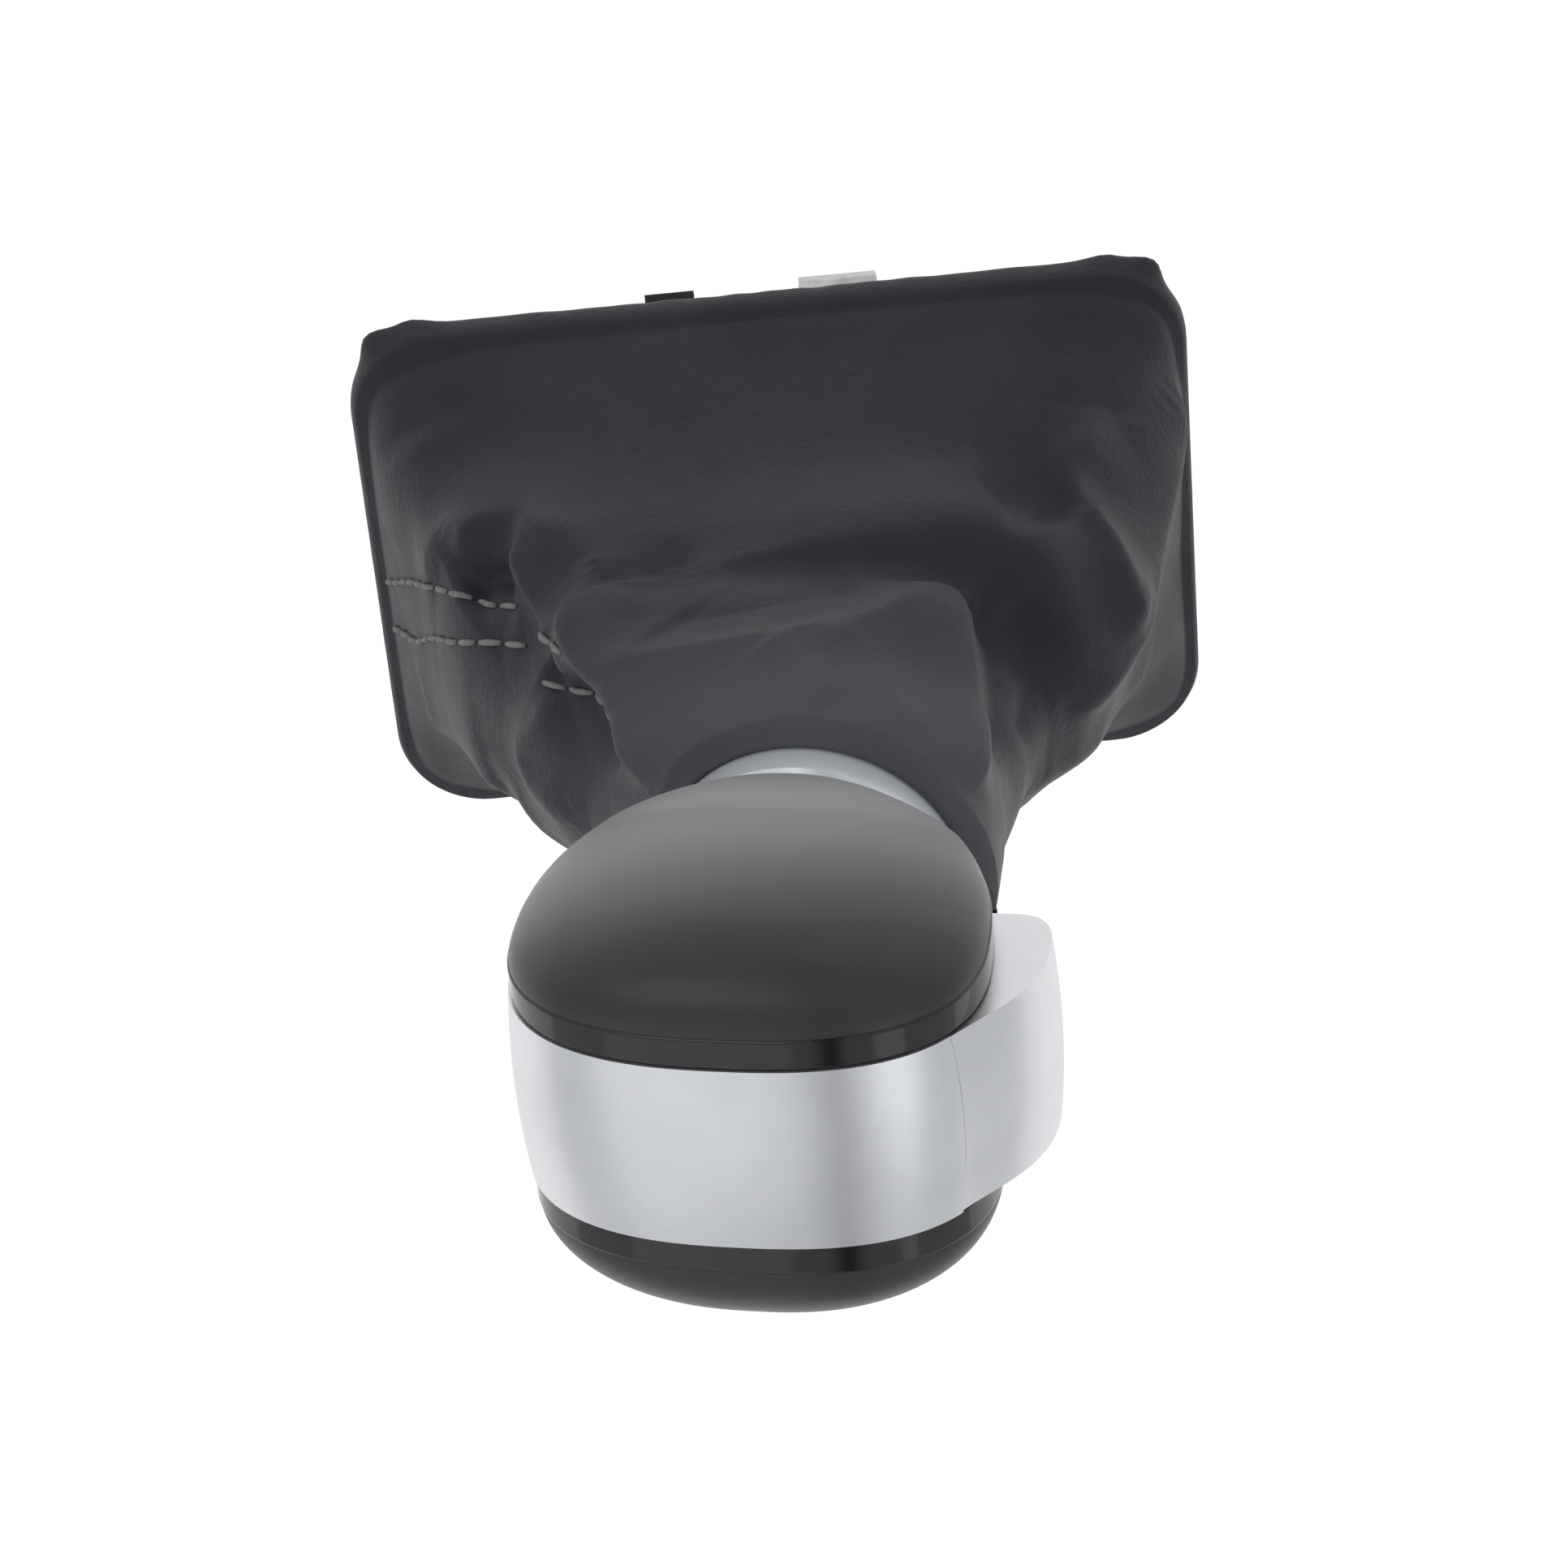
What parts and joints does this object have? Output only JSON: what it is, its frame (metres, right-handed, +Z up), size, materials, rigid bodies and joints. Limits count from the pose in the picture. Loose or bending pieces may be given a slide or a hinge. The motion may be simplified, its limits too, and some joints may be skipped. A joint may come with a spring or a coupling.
{
  "type": "gear lever",
  "caption": "Automatic gear lever top: pebble-shaped knob with a silver band and side release button, bright collar, and a folded leather gaiter on a snap-in console frame.",
  "frame": {"origin": "centre of the gaiter frame's seat on the console", "axes": "+Z up out of the console, +X to the side with the release button, +Y towards the driver"},
  "size_m": [0.1184, 0.0774, 0.1628],
  "materials": {
    "frame_plastic": "matte",
    "spring_steel": "satin",
    "leather": "fine grain, matte",
    "core_plastic": "matte",
    "zinc_steel": "satin",
    "sleeve_plastic": "matte",
    "collar_chrome": "bright satin",
    "satin_silver": "satin silver",
    "gloss_black": "high gloss",
    "soft_black": "soft-touch matte",
    "acetal": "matte"
  },
  "bodies": {
    "console_side": {"gaiter_frame": "frame_plastic", "frame_clips": "spring_steel", "gaiter": "leather"},
    "lever": {"core_rear": "core_plastic", "core_front": "core_plastic", "core_screws": "zinc_steel", "neck_sleeve": "sleeve_plastic", "neck_clamp": "zinc_steel", "collar_carrier": "core_plastic", "collar_ring": "collar_chrome", "gaiter_clamp": "zinc_steel", "trim_band": "satin_silver", "rear_bezel": "gloss_black", "front_bezel": "gloss_black", "rear_cover": "soft_black", "front_cover": "soft_black", "button_spring": "spring_steel"},
    "button": {"release_button": "satin_silver", "button_slider": "acetal"},
    "plunger": {"plunger": "acetal", "cross_pin": "spring_steel"}
  },
  "joints": [
    {"name": "lever_tilt", "type": "hinge", "parent": "console_side", "child": "lever", "pos_m": [0, 0, -0.075], "axis": [1, 0, 0], "range_deg": [-12, 12], "deforming": ["gaiter"]},
    {"name": "button_press", "type": "slide", "parent": "lever", "child": "button", "axis": [-0.9744, 0, -0.225], "range_m": [0, 0.004], "stiffness_N_per_m": 600, "springref_m": -0.004, "deforming": ["button_spring"]},
    {"name": "plunger_slide", "type": "slide", "parent": "lever", "child": "plunger", "axis": [0.225, 0, -0.9744], "range_m": [0, 0.004]}
  ],
  "couplings": [
    {"joint": "plunger_slide", "follows": "button_press", "ratio": 1}
  ]
}
